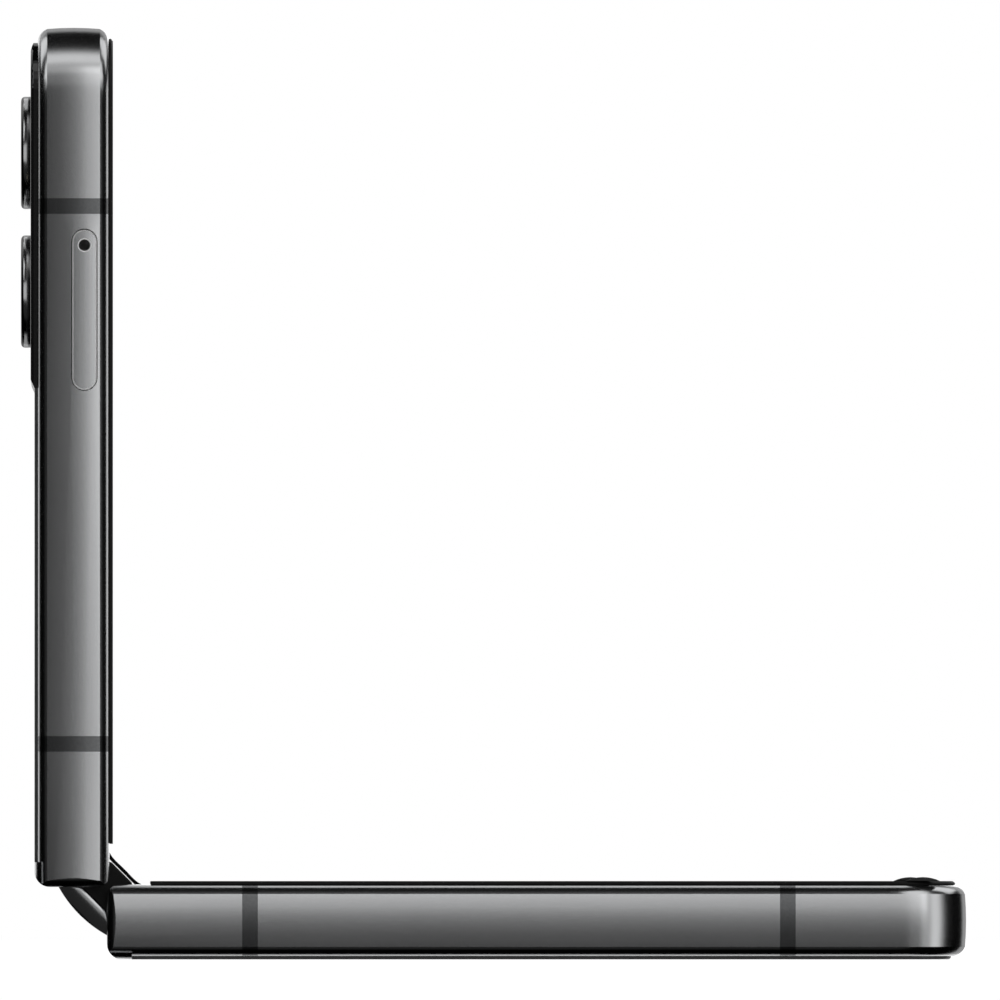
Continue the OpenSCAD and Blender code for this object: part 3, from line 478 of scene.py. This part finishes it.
RIM_INNER_RADIUS = 3.2 * MM
FRONT_ELEMENT_RADIUS = 1.63 * MM
LENS_STEPS = [
    (0.62, 0.0), (0.02, -0.14), (0.5, 0.0), (0.02, -0.1), (0.45, 0.0), (0.02, -0.1), (0.35, 0.0),
    (0.02, -0.06), (0.2, 0.0), (0.15, 0.1), (0.25, 0.07), (0.35, 0.05), (0.4, 0.025),
]


def stepped_lens(name, node):
    low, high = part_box(node)
    middle = (low + high) / 2
    radius = (high.z - low.z) / 2
    bpy.ops.object.select_all(action="DESELECT")
    bpy.ops.mesh.primitive_cylinder_add(vertices=96, radius=radius, depth=high.x - low.x,
                                        location=middle, rotation=(0, math.radians(90), 0))
    piece = bpy.context.object
    piece.name = name
    bpy.ops.object.transform_apply(location=True, rotation=True, scale=True)
    bpy.ops.object.mode_set(mode="EDIT")
    bpy.ops.mesh.select_all(action="DESELECT")
    bpy.ops.object.mode_set(mode="OBJECT")
    for face in piece.data.polygons:
        face.select = face.normal.x < -0.9
    bpy.ops.object.mode_set(mode="EDIT")
    bpy.ops.mesh.select_mode(type="FACE")
    for inward, rise in LENS_STEPS:
        bpy.ops.mesh.inset(thickness=inward * MM, depth=rise * MM)
    bpy.ops.object.mode_set(mode="OBJECT")
    for finish in (window_black, barrel_black, lens_coating):
        piece.data.materials.append(finish)
    for face in piece.data.polygons:
        away = math.hypot(face.center.y - middle.y, face.center.z - middle.z)
        face.material_index = 0 if away > RIM_INNER_RADIUS else 1 if away > FRONT_ELEMENT_RADIUS else 2
    select_only(piece)
    bpy.ops.object.shade_smooth_by_angle(angle=math.radians(28))
    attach(piece, "upper_half")
    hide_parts(node)
    print(name, len(piece.data.polygons), "faces, closed:", is_closed(piece))


stepped_lens("camera_lens_upper", "lens_glass_upper")
stepped_lens("camera_lens_lower", "lens_glass_lower")

# %% [markdown]
# ## Camera rings
# A camera ring is turned from bar stock and polished: a flat face with a fine inner chamfer, a
# rounded outer lip and a straight wall down to the window. Its cross-section is one closed loop that
# is spun round the lens axis, so the wall reflects without a single facet. The rounded outer lip gets
# a near-black finish, which is painted shade on the polished metal.

# %% Two turned rings
LIP_RADIUS = 5.05 * MM
LIP_DEPTH = 0.3 * MM
RING_PROFILE = [
    (0.0, 4.02), (0.0, 5.02), (0.02, 5.16), (0.07, 5.29), (0.15, 5.38), (0.25, 5.44), (0.38, 5.47),
    (0.96, 5.47), (1.02, 5.43), (1.02, 4.97), (1.78, 4.97), (1.78, 3.9), (0.12, 3.9), (0.03, 3.95),
]


def turned_ring(name, node):
    low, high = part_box(node)
    middle = (low + high) / 2
    bpy.ops.object.select_all(action="DESELECT")
    bpy.ops.mesh.primitive_circle_add(vertices=len(RING_PROFILE), radius=MM, location=(0, 0, 0))
    piece = bpy.context.object
    piece.name = name
    for vertex, (behind, radius) in zip(piece.data.vertices, RING_PROFILE):
        vertex.co = (low.x + behind * MM, middle.y, middle.z + radius * MM)
    bpy.ops.object.mode_set(mode="EDIT")
    bpy.ops.mesh.select_all(action="SELECT")
    bpy.ops.mesh.spin(steps=128, angle=math.tau, center=middle, axis=(1, 0, 0))
    bpy.ops.mesh.select_all(action="SELECT")
    bpy.ops.mesh.remove_doubles(threshold=MERGE_DISTANCE)
    bpy.ops.mesh.normals_make_consistent(inside=False)
    bpy.ops.object.mode_set(mode="OBJECT")
    piece.data.materials.append(polished_trim)
    piece.data.materials.append(ring_lip_painted_shade)
    for face in piece.data.polygons:
        # Faces of the rounded outer lip at the front take the near-black finish: painted shade.
        across = math.hypot(face.center.y - middle.y, face.center.z - middle.z)
        face.material_index = int(across > LIP_RADIUS and face.center.x < low.x + LIP_DEPTH)
    bpy.ops.object.shade_smooth_by_angle(angle=math.radians(35))
    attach(piece, "upper_half")
    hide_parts(node)
    print(name, len(piece.data.polygons), "faces, closed:", is_closed(piece))


# Near-black finish for the ring's outer lip: painted shade, not a colour of the polished ring.
ring_lip_painted_shade = satin_metal("ring_lip_painted_shade", grey(0.08), 0.3)
turned_ring("turned_lens_ring_upper", "lens_ring_upper")
turned_ring("turned_lens_ring_lower", "lens_ring_lower")

# %% [markdown]
# ## Contacts of the charging socket
# The tongue in the socket carries two rows of gold-plated contacts. One contact is made as a small
# pad with rounded edges and copied along the tongue, above and below.

# %% Gold contacts
gold_plate = satin_metal("gold_plate", (0.83, 0.6, 0.26), 0.25)
tongue_low, tongue_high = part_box("usb_tongue")
CONTACTS_IN_ROW = 12
CONTACT_PITCH, CONTACT_LENGTH = 0.5 * MM, 3.4 * MM
CONTACT_WIDTH, CONTACT_PROUD = 0.26 * MM, 0.03 * MM
CONTACT_INSET, CONTACT_EDGE = 0.3 * MM, 0.012 * MM
contacts = []
for row_z in (tongue_low.z, tongue_high.z):
    for place in range(CONTACTS_IN_ROW):
        bpy.ops.object.select_all(action="DESELECT")
        centre_x = tongue_high.x - CONTACT_INSET - CONTACT_LENGTH / 2
        centre = (centre_x, (place - (CONTACTS_IN_ROW - 1) / 2) * CONTACT_PITCH, row_z)
        bpy.ops.mesh.primitive_cube_add(size=1, location=centre)
        contact = bpy.context.object
        contact.scale = (CONTACT_LENGTH, CONTACT_WIDTH, 2 * CONTACT_PROUD)
        bpy.ops.object.transform_apply(location=True, rotation=True, scale=True)
        bpy.ops.object.mode_set(mode="EDIT")
        bpy.ops.mesh.select_all(action="SELECT")
        bpy.ops.mesh.bevel(offset=CONTACT_EDGE, segments=1)
        bpy.ops.object.mode_set(mode="OBJECT")
        contacts.append(contact)
bpy.ops.object.select_all(action="DESELECT")
for contact in contacts:
    contact.select_set(True)
bpy.context.view_layer.objects.active = contacts[0]
bpy.ops.object.join()
gold_contacts = bpy.context.object
gold_contacts.name = "usb_contacts"
gold_contacts.data.materials.append(gold_plate)
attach(gold_contacts, "lower_half")
print("contacts:", len(contacts), "closed:", is_closed(gold_contacts))

# %% [markdown]
# ## Studio
# The phone is seen square from its side. A very long lens keeps that side free of perspective, and
# the camera stands level with the inner faces of both halves, so neither of them opens to view.

# %% Camera
NEAR_SIDE_Y = lower_low.y
FRAME_WIDTH = 1000 / 10.42 * MM
VIEW_CENTRE = Vector((-3.58 * MM, NEAR_SIDE_Y, 44.1 * MM))
EYE_LIFT = 0.3 * MM
camera_data = bpy.data.cameras.new("studio_camera")
camera_data.sensor_width = 36
camera_data.lens = 1600
camera_distance = FRAME_WIDTH * camera_data.lens / camera_data.sensor_width
camera = bpy.data.objects.new("studio_camera", camera_data)
bpy.context.scene.collection.objects.link(camera)
camera.location = (UPPER_RIM_X + EYE_LIFT, NEAR_SIDE_Y - camera_distance, LOWER_RIM_Z + EYE_LIFT)
camera.rotation_mode = "QUATERNION"
camera.rotation_quaternion = (VIEW_CENTRE - camera.location).to_track_quat("-Z", "Y")
camera_data.clip_start = 0.1
camera_data.clip_end = 20
bpy.context.scene.camera = camera
print("camera distance m:", round(camera_distance, 2))

# %% [markdown]
# The floor is a plain pale disc. It glows a little, so that it meets the white backdrop without a
# line, and still takes a faint contact shadow. Polished metal doesn't mirror it.

# %% Floor
FLOOR_RADIUS = 1.5
FLOOR_DROP = 0.01 * MM
FLOOR_GLOW = 0.86
bpy.ops.object.select_all(action="DESELECT")
bpy.ops.mesh.primitive_circle_add(vertices=96, radius=FLOOR_RADIUS, fill_type="NGON", location=(0, 0, 0))
floor = bpy.context.object
floor.name = "studio_floor"
floor_paint = new_finish("floor_paint", (0.8, 0.8, 0.8), 0.0, 0.9)
floor_shader = floor_paint.node_tree.nodes["Principled BSDF"]
floor_shader.inputs["Emission Color"].default_value = (1, 1, 1, 1)
floor_shader.inputs["Emission Strength"].default_value = FLOOR_GLOW
floor.data.materials.append(floor_paint)
floor.location.z = -FLOOR_DROP
floor.visible_glossy = False
print("floor radius m:", FLOOR_RADIUS)

# %% [markdown]
# Satin metal shows its lights as soft stripes, so the stripes are planned by angle: a light that
# stands at twice the angle of a surface's tilt is the one that this surface mirrors. Each half has
# its own set of soft strips, turned towards its inner face, and a second set turned towards its free
# end. The hinge spine and the camera rings have a set each as well. Every row below gives a strip's
# first angle, its last angle and its brightness. Strips beyond a right angle stand behind and are short.

# %% Strip lights
STRIP_DISTANCE = 0.6
STRIP_LENGTH = 1.45
OFF_CENTRE = 0.325
SHORT_STRIP_LENGTH = 0.3
END_STRIP_LENGTH = 0.6
AIM_DEPTH = -3.6 * MM
RING_AIM_DEPTH = -10 * MM
RING_FROM_END = 22 * MM
side_strips = [
    (-6, 1, 0.12), (1, 7, 0.25), (7, 17, 1.4), (17, 25, 1.8), (25, 34, 0.5), (34, 41, 0.3), (41, 52, 0.1),
    (104, 138, 0.9), (138, 178, 1.7), (-178, -120, 0.7),
]
end_strips = [(30, 50, 0.12), (50, 66, 0.5), (66, 84, 1.15), (84, 91, 0.4)]
spine_strips = [(12, 26, 0.35), (26, 60, 1.3), (104, 138, 0.5), (138, 178, 1.4), (-150, -100, 1.2)]
ring_strips = [(-20, 20, 0.75), (105, 150, 0.7), (-150, -105, 0.45)]
lamps_of = {"upper": [], "lower": [], "spine": [], "rings": []}


def soft_strip(half, aim, toward, start, stop, brightness, length=STRIP_LENGTH):
    middle = math.radians((start + stop) / 2)
    across = 2 * STRIP_DISTANCE * math.tan(math.radians(stop - start) / 2)
    if abs(start) > 90:
        length = SHORT_STRIP_LENGTH
    direction = toward * math.sin(middle) + Vector((0, -math.cos(middle), 0))
    along = toward.cross(Vector((0, 1, 0)))
    light = bpy.data.lights.new(f"{half}_strip", "AREA")
    light.shape = "RECTANGLE"
    light.size, light.size_y = across, length
    light.energy = math.pi * brightness * across * length
    lamp = bpy.data.objects.new(f"{half}_strip", light)
    bpy.context.scene.collection.objects.link(lamp)
    lamp.visible_camera = False
    lamp.matrix_world = Matrix((along.cross(direction), along, direction)).transposed().to_4x4()
    lamp.location = aim + direction * STRIP_DISTANCE
    lamps_of[half].append(lamp)


RIGHT, UP = Vector((1, 0, 0)), Vector((0, 0, 1))
NEAR_EDGE = -HALF_WIDTH / 2
upright_middle = on_upper(HALF_LENGTH / 2, NEAR_EDGE, AIM_DEPTH)
lying_middle = on_lower(HALF_LENGTH / 2, NEAR_EDGE, AIM_DEPTH)
upright_end = on_upper(HALF_LENGTH, NEAR_EDGE, AIM_DEPTH)
lying_end = on_lower(HALF_LENGTH, NEAR_EDGE, AIM_DEPTH)
spine_middle = on_lower(0, NEAR_EDGE, 0)
rings_middle = on_upper(HALF_LENGTH - RING_FROM_END, NEAR_EDGE, RING_AIM_DEPTH)
for start, stop, brightness in side_strips:
    shift = OFF_CENTRE if abs(start) < 90 else 0
    soft_strip("upper", upright_middle + UP * shift, RIGHT, start, stop, brightness)
    soft_strip("lower", lying_middle + RIGHT * shift, UP, start, stop, brightness)
for start, stop, brightness in end_strips:
    soft_strip("upper", upright_end, UP, start, stop, brightness, END_STRIP_LENGTH)
    soft_strip("lower", lying_end, RIGHT, start, stop, brightness, END_STRIP_LENGTH)
for start, stop, brightness in spine_strips:
    soft_strip("spine", spine_middle, (RIGHT + UP).normalized(), start, stop, brightness)
for start, stop, brightness in ring_strips:
    soft_strip("rings", rings_middle, UP, start, stop, brightness)
print("strips:", {half: len(lamps) for half, lamps in lamps_of.items()})

# %% [markdown]
# Four large boxes on the diagonals light the glass, the screen and the keys for every other view.
# The rails hardly mirror them from the side, because no rail leans that way.

# %% Diagonal boxes
BOX_DISTANCE, BOX_SIZE, BOX_BRIGHTNESS = 1.5, 0.9, 1.2


def soft_box(name, direction):
    light = bpy.data.lights.new(name, "AREA")
    light.shape = "SQUARE"
    light.size = BOX_SIZE
    light.energy = math.pi * BOX_BRIGHTNESS * BOX_SIZE * BOX_SIZE
    lamp = bpy.data.objects.new(name, light)
    bpy.context.scene.collection.objects.link(lamp)
    lamp.visible_camera = False
    lamp.location = VIEW_CENTRE + Vector(direction).normalized() * BOX_DISTANCE
    lamp.rotation_mode = "QUATERNION"
    lamp.rotation_quaternion = (VIEW_CENTRE - lamp.location).to_track_quat("-Z", "Y")


soft_box("box_front_right", (1, -0.7, 1.1))
soft_box("box_front_left", (-1, -0.7, 1.1))
soft_box("box_back_right", (1, 0.8, 1.1))
soft_box("box_back_left", (-1, 0.8, 1.1))
print("diagonal boxes:", 4)

# %% [markdown]
# The room is dark in front and at the sides and brighter far behind, which is what the rounded edges
# mirror. Only the camera itself sees the plain white backdrop.

# %% Backdrop
world = bpy.data.worlds.new("studio_world")
bpy.context.scene.world = world
world.use_nodes = True
tree = world.node_tree
backdrop = tree.nodes["Background"]
backdrop.inputs["Color"].default_value = (1, 1, 1, 1)
backdrop.inputs["Strength"].default_value = 1.0
room = tree.nodes.new("ShaderNodeBackground")
direction = tree.nodes.new("ShaderNodeTexCoord")
split = tree.nodes.new("ShaderNodeSeparateXYZ")
depth = tree.nodes.new("ShaderNodeMapRange")
depth.inputs["From Min"].default_value = -1
rings = tree.nodes.new("ShaderNodeValToRGB")
rings.color_ramp.elements.remove(rings.color_ramp.elements[1])
ring_tones = [(-1.0, 0.03), (-0.55, 0.03), (-0.45, 0.0), (0.77, 0.0), (0.83, 0.5), (1.0, 0.4)]
for place, tone in ring_tones:
    position = (place + 1) / 2
    point = rings.color_ramp.elements.new(position) if place > -1 else rings.color_ramp.elements[0]
    point.position = position
    point.color = (tone, tone, tone, 1)
ray = tree.nodes.new("ShaderNodeLightPath")
switch = tree.nodes.new("ShaderNodeMixShader")
tree.links.new(direction.outputs["Generated"], split.inputs["Vector"])
tree.links.new(split.outputs["Y"], depth.inputs["Value"])
tree.links.new(depth.outputs["Result"], rings.inputs["Fac"])
tree.links.new(rings.outputs["Color"], room.inputs["Color"])
tree.links.new(ray.outputs["Is Camera Ray"], switch.inputs["Fac"])
tree.links.new(room.outputs["Background"], switch.inputs[1])
tree.links.new(backdrop.outputs["Background"], switch.inputs[2])
tree.links.new(switch.outputs["Shader"], tree.nodes["World Output"].inputs["Surface"])
bpy.context.scene.view_settings.view_transform = "Standard"
print("studio ready")

# %% [markdown]
# Light linking comes last, once every piece is there. The rings see only their own strips. The
# screen sees no strips at all, because its crease would mirror them as bright lines, and it keeps
# the light of the four boxes.

# %% Each set of strips on its own half
bodies_of = {"lower": ["lower_half"], "spine": [b for b in frame["bodies"] if "spine" in b or "gear" in b]}
bodies_of["upper"] = [b for b in frame["bodies"] if b not in bodies_of["lower"] + bodies_of["spine"]]
for half, lamps in lamps_of.items():
    lit = bpy.data.collections.new(f"{half}_lit")
    for piece in bpy.context.scene.objects:
        is_ring = "lens_ring" in piece.name
        bodies = set(body_of(piece) or [])
        if len(bodies) > 1:
            bodies.discard("hinge_spine")
        is_screen = "display" in piece.name
        on_half = not is_ring and not is_screen and bodies & set(bodies_of.get(half, []))
        if piece.type == "MESH" and (on_half or is_ring and half == "rings"):
            lit.objects.link(piece)
    for lamp in lamps:
        lamp.light_linking.receiver_collection = lit
